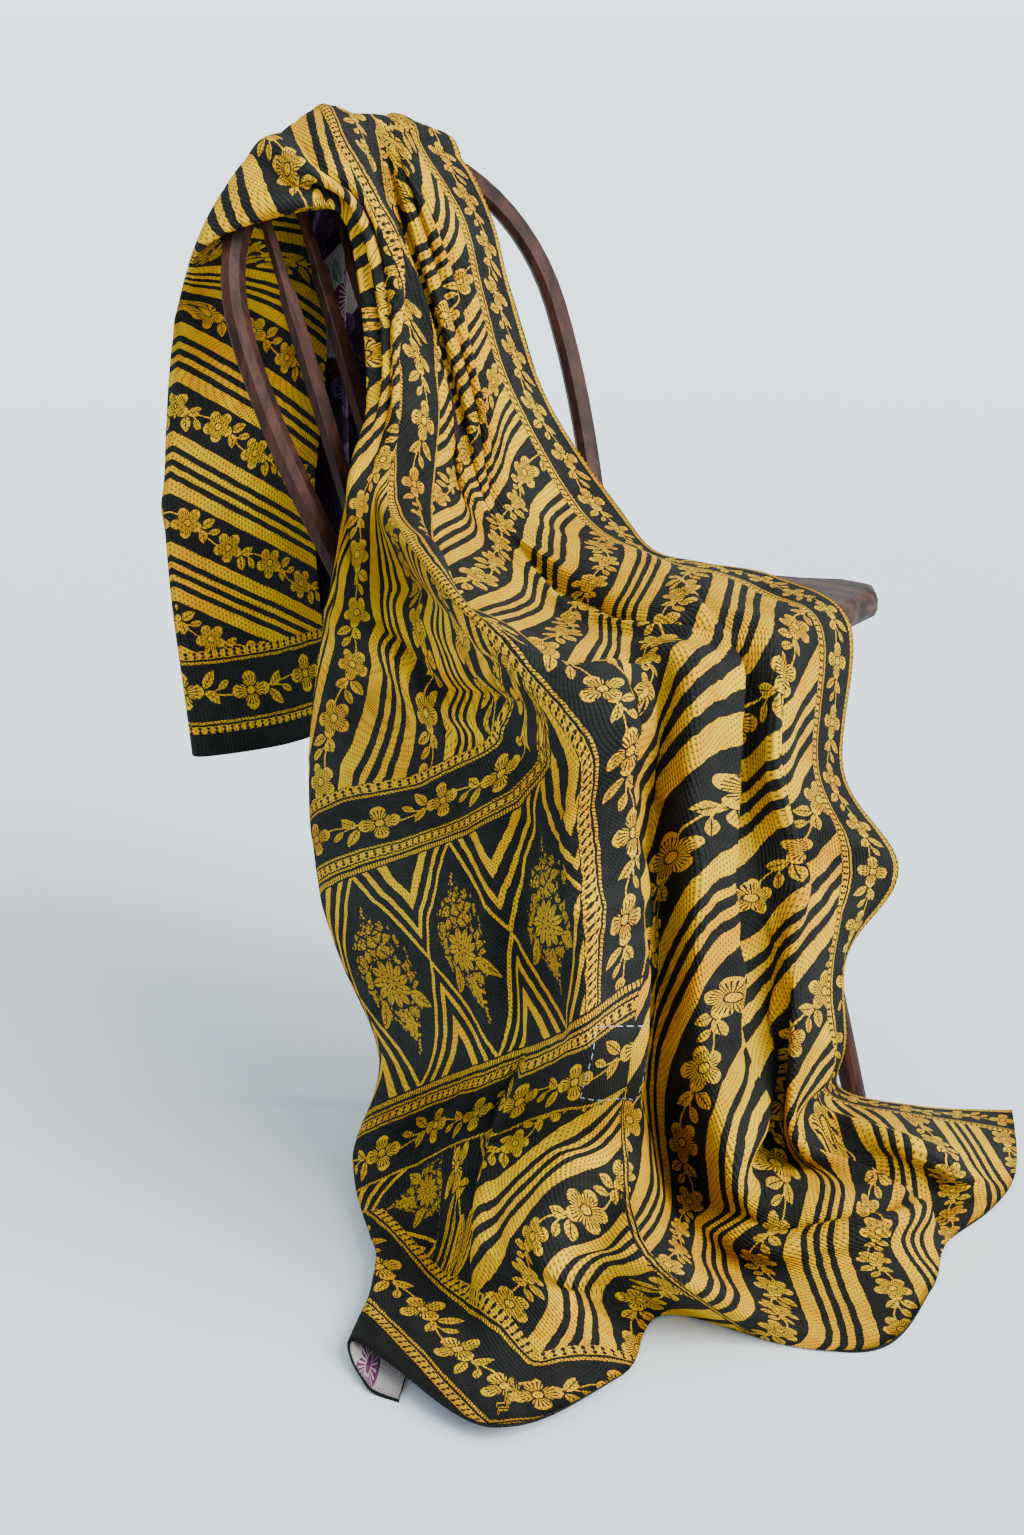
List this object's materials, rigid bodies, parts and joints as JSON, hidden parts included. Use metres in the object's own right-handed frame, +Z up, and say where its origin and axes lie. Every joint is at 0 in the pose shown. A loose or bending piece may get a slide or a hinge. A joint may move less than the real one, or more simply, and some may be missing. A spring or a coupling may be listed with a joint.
{
  "type": "kantha quilt draped over a chair",
  "caption": "Kantha quilt in black and golden yellow, thrown over a dark bow-back wooden side chair and trailing in folds onto the floor",
  "frame": {"origin": "the middle of the whole thing's bounding box in plan, on the floor that the chair and the cloth stand on", "axes": "+Z up, the chair faces -Y, +X is the chair's side that the cloth leaves bare"},
  "size_m": [0.7457, 0.9075, 0.8863],
  "materials": {
    "quilt_cloth": "matte hand-stitched cotton, black-olive ground printed in golden yellow, pale printed reverse",
    "chair_wood": "dark brown stained wood, worn satin"
  },
  "bodies": {
    "root": {"quilt": "quilt_cloth", "seat": "chair_wood", "hoop": "chair_wood", "slat_1": "chair_wood", "slat_2": "chair_wood", "slat_3": "chair_wood", "slat_4": "chair_wood", "slat_5": "chair_wood", "slat_6": "chair_wood", "slat_7": "chair_wood", "leg_front_right": "chair_wood", "leg_front_left": "chair_wood", "leg_rear_right": "chair_wood", "leg_rear_left": "chair_wood"}
  },
  "joints": []
}
